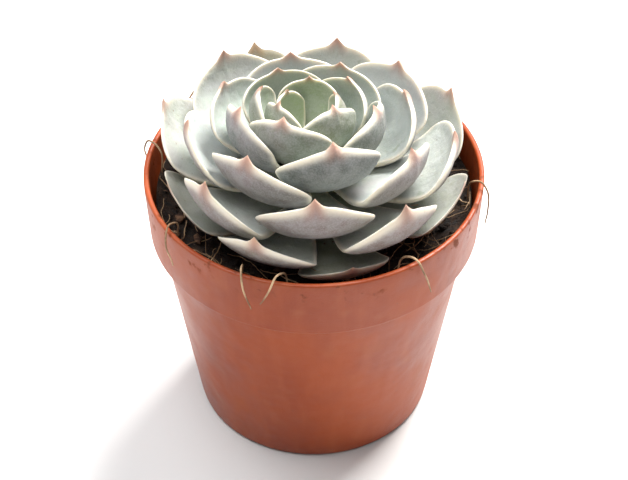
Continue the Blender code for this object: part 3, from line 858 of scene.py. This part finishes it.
def rim_knots(bearing, drift, hang, arch):
    """From the medium by the wall, up over the rim and down its outside."""
    outside = RIM_RADIUS + GAP + 2 * STRAND_CLEARANCE
    inner = RIM_RADIUS - POT_WALL - BAND_DRAFT - GAP - STRAND_CLEARANCE
    start = medium_top(bearing, inner) + 0.5 * MM + 2 * STRAND_CLEARANCE
    top = POT_HEIGHT + GAP + 2 * STRAND_CLEARANCE + arch
    return [
        around(bearing, inner - 0.3 * MM, start),
        around(bearing + 0.15 * drift, inner - 0.2 * MM, mix(start, top, 0.75)),
        around(bearing + 0.40 * drift, RIM_RADIUS - 0.2 * MM, top + 0.1 * MM),
        around(bearing + 0.65 * drift, outside + 0.2 * MM, POT_HEIGHT - 0.25 * hang),
        around(bearing + drift, outside + 0.1 * MM, POT_HEIGHT - hang),
    ]


def curve_through(knots, steps):
    """A smooth line through the knots."""
    line = []
    padded = [2 * knots[0] - knots[1]] + knots + [2 * knots[-1] - knots[-2]]
    for before, start, end, after in zip(padded, padded[1:], padded[2:], padded[3:]):
        line += [smooth_between(before, start, end, after, step / steps) for step in range(steps)]
    return line + [knots[-1]]


def strand(line, thickness, points, faces):
    """Adds one closed, tapering strand along the line to these points and faces."""
    first = len(points)
    side_way = Vector((0.3, 0.9, 0.4)).normalized()
    last = len(line) - 1
    for place, spot in enumerate(line):
        ahead = (line[min(last, place + 1)] - line[max(0, place - 1)]).normalized()
        across = ahead.cross(side_way).normalized()
        up = ahead.cross(across)
        share = place / last
        radius = thickness * (0.25 + 0.75 * math.sin(math.pi * mix(0.12, 0.94, share)) ** 0.5)
        for side in range(FIBRE_SIDES):
            angle = 2 * math.pi * side / FIBRE_SIDES
            points.append(spot + radius * (math.cos(angle) * across + math.sin(angle) * up))
    for place in range(last):
        low = first + place * FIBRE_SIDES
        for side in range(FIBRE_SIDES):
            after = (side + 1) % FIBRE_SIDES
            high = low + FIBRE_SIDES
            faces.append((low + side, low + after, high + after, high + side))
    faces.append([first + side for side in range(FIBRE_SIDES)][::-1])
    faces.append([first + last * FIBRE_SIDES + side for side in range(FIBRE_SIDES)])


def coir():
    """Tan to brown, darker along its length in places."""
    finish, tree, shader, place = new_finish("coir")
    tone = cloudy(tree, place, 3.2 * MM, 0.35, 0.65, 4.0)
    colour = coloured(tree, tone, (0.210, 0.115, 0.055), (0.620, 0.430, 0.250))
    dirt = cloudy(tree, place, 0.8 * MM, 0.55, 0.68, 4.0)
    colour = coloured(tree, times(tree, dirt, 0.6), colour, (0.085, 0.045, 0.022))
    feed(tree, shader, {"Base Color": colour, "Normal": raised(tree, dirt, 0.05 * MM)})
    shader.inputs["Roughness"].default_value = 0.72
    return finish


coir_finish = coir()
for number, (bearing, drift, hang, arch) in enumerate(STRANDS, 1):
    knots = rim_knots(math.radians(bearing), math.radians(drift), hang * MM, arch * MM)
    line = curve_through(knots, 10)
    bends = np.stack([uneven(line, 2.2 * MM, number + 10 * axis) for axis in range(3)], axis=-1)
    wobble = [spot + 0.10 * MM * Vector(bend) for spot, bend in zip(line, bends)]
    points, faces = [], []
    strand(wobble, COARSE_RADIUS, points, faces)
    made = piece(f"rim_fibre_{number}", points, faces, coir_finish, "coir")
    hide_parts(f"coir_fibre_{number}")


def loose_fibres():
    """Fine strands that lie on the medium by the wall or spring up out of it."""
    rng = random.Random(77)
    most = MEDIUM_RADIUS - 0.3 * MM
    points, faces = [], []
    for number in range(FINE_FIBRES):
        bearing = rng.uniform(0.0, 2 * math.pi)
        radius = rng.uniform(17.0, 25.0) * MM
        heading = rng.uniform(0.0, 2 * math.pi)
        spot = around(bearing, radius, medium_top(bearing, radius) + 0.8 * MM)
        climb = rng.uniform(-0.05, 0.22) if number % 5 else rng.uniform(0.3, 0.8)
        line = []
        for _ in range(FINE_STEPS):
            line.append(spot.copy())
            heading += rng.uniform(-0.38, 0.38)
            climb += rng.uniform(-0.14, 0.11)
            ahead = Vector((math.cos(heading), math.sin(heading), climb)).normalized()
            spot = spot + ahead * FINE_STEP
            reach = math.hypot(spot.x, spot.y)
            if reach > most:
                spot.x *= most / reach
                spot.y *= most / reach
            floor_z = medium_top(math.atan2(spot.x, -spot.y), reach) + 0.35 * MM
            spot.z = min(max(spot.z, floor_z), POT_HEIGHT - 1.6 * MM)
        strand(line, rng.uniform(0.7, 1.5) * FINE_RADIUS, points, faces)
    return points, faces


piece("loose_fibres", *loose_fibres(), coir_finish, "coir")

# ---------------------------------------------------------------- the table and the light
# A plain pale table top under a large window light from behind on the right, with a soft fill from
# the front and the top. The camera looks down on the plant as someone standing at the table does.

TABLE_WIDTH = 6.0
CAMERA_DISTANCE = 0.39
CAMERA_ELEVATION = math.radians(42.5)
VIEW_WIDTH = 0.104
SENSOR_WIDTH = 36.0
LOOK_AT = Vector((0.0, 0.0, 0.0315))


def table_top():
    finish, tree, shader, place = new_finish("table_top")
    clouds = cloudy(tree, place, 0.35, 0.3, 0.7)
    feed(tree, shader, {"Base Color": coloured(tree, clouds, (0.66, 0.66, 0.65), (0.70, 0.70, 0.69))})
    shader.inputs["Roughness"].default_value = 0.6
    mesh = bpy.data.meshes.new("table_top")
    half = TABLE_WIDTH / 2
    corners = [(-half, -half, 0.0), (half, -half, 0.0), (half, half, 0.0), (-half, half, 0.0)]
    mesh.from_pydata(corners, [], [(0, 1, 2, 3)])
    mesh.materials.append(finish)
    made = bpy.data.objects.new("table_top", mesh)
    bpy.context.scene.collection.objects.link(made)


def soft_light(name, place, size, power, colour):
    lamp = bpy.data.lights.new(name, "AREA")
    lamp.shape = "SQUARE"
    lamp.size = size
    lamp.energy = power
    lamp.color = colour
    made = bpy.data.objects.new(name, lamp)
    made.location = place
    made.rotation_euler = (LOOK_AT - Vector(place)).to_track_quat("-Z", "Y").to_euler()
    bpy.context.scene.collection.objects.link(made)


table_top()
soft_light("window", (0.34, 0.48, 0.86), 0.50, 30.0, (1.0, 0.985, 0.96))
soft_light("overhead", (-0.34, 0.10, 0.90), 0.60, 8.0, (0.97, 0.98, 1.0))
soft_light("front_fill", (0.05, -0.42, 1.00), 0.50, 2.5, (1.0, 0.99, 0.98))

room = bpy.data.worlds.new("room")
room.use_nodes = True
sky = room.node_tree.nodes["Background"]
sky.inputs["Color"].default_value = (0.93, 0.95, 1.0, 1.0)
sky.inputs["Strength"].default_value = 0.26
bpy.context.scene.world = room

lens = bpy.data.cameras.new("camera")
lens.sensor_width = SENSOR_WIDTH
lens.lens = SENSOR_WIDTH * CAMERA_DISTANCE / VIEW_WIDTH
camera = bpy.data.objects.new("camera", lens)
towards = Vector((0.0, -math.cos(CAMERA_ELEVATION), math.sin(CAMERA_ELEVATION)))
camera.location = LOOK_AT + towards * CAMERA_DISTANCE
camera.rotation_euler = (-towards).to_track_quat("-Z", "Y").to_euler()
bpy.context.scene.collection.objects.link(camera)
bpy.context.scene.camera = camera
bpy.context.scene.view_settings.view_transform = "Standard"
